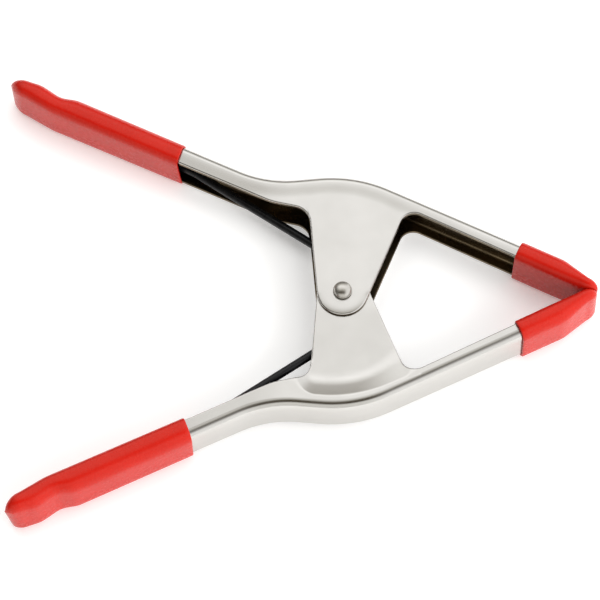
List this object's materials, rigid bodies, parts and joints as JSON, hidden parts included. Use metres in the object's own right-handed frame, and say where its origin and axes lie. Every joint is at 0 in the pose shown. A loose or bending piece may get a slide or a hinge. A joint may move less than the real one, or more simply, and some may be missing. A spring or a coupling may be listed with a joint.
{
  "type": "spring clamp",
  "caption": "Hand-squeezed spring clamp: pressed steel channel arms on a rivet, a torsion spring that shuts the jaws, and soft sleeves on handles and jaws.",
  "frame": {"origin": "centre of the clamp's outline on the plane that it lies on", "axes": "+X from the handles towards the jaws, +Y towards the upper arm, +Z along the rivet towards its round head"},
  "size_m": [0.2246, 0.1828, 0.0226],
  "materials": {
    "nickel_plate": "bright nickel plate on pressed steel",
    "black_spring_steel": "oiled black spring wire",
    "red_soft_plastic": "dipped soft vinyl, satin"
  },
  "bodies": {
    "upper_half": {"upper_arm": "nickel_plate", "pivot_rivet": "nickel_plate", "spring_bush": "nickel_plate", "torsion_spring": "black_spring_steel", "upper_handle_grip": "red_soft_plastic", "upper_jaw_pad": "red_soft_plastic"},
    "lower_half": {"lower_arm": "nickel_plate", "lower_handle_grip": "red_soft_plastic", "lower_jaw_pad": "red_soft_plastic"}
  },
  "joints": [
    {"name": "jaw_pivot", "type": "hinge", "parent": "upper_half", "child": "lower_half", "pos_m": [0.0158, 0, 0.0106], "axis": [0, 0, -1], "range_deg": [0, 46], "stiffness_Nm_per_rad": 4, "springref_deg": -45.84, "deforming": ["torsion_spring"]}
  ]
}
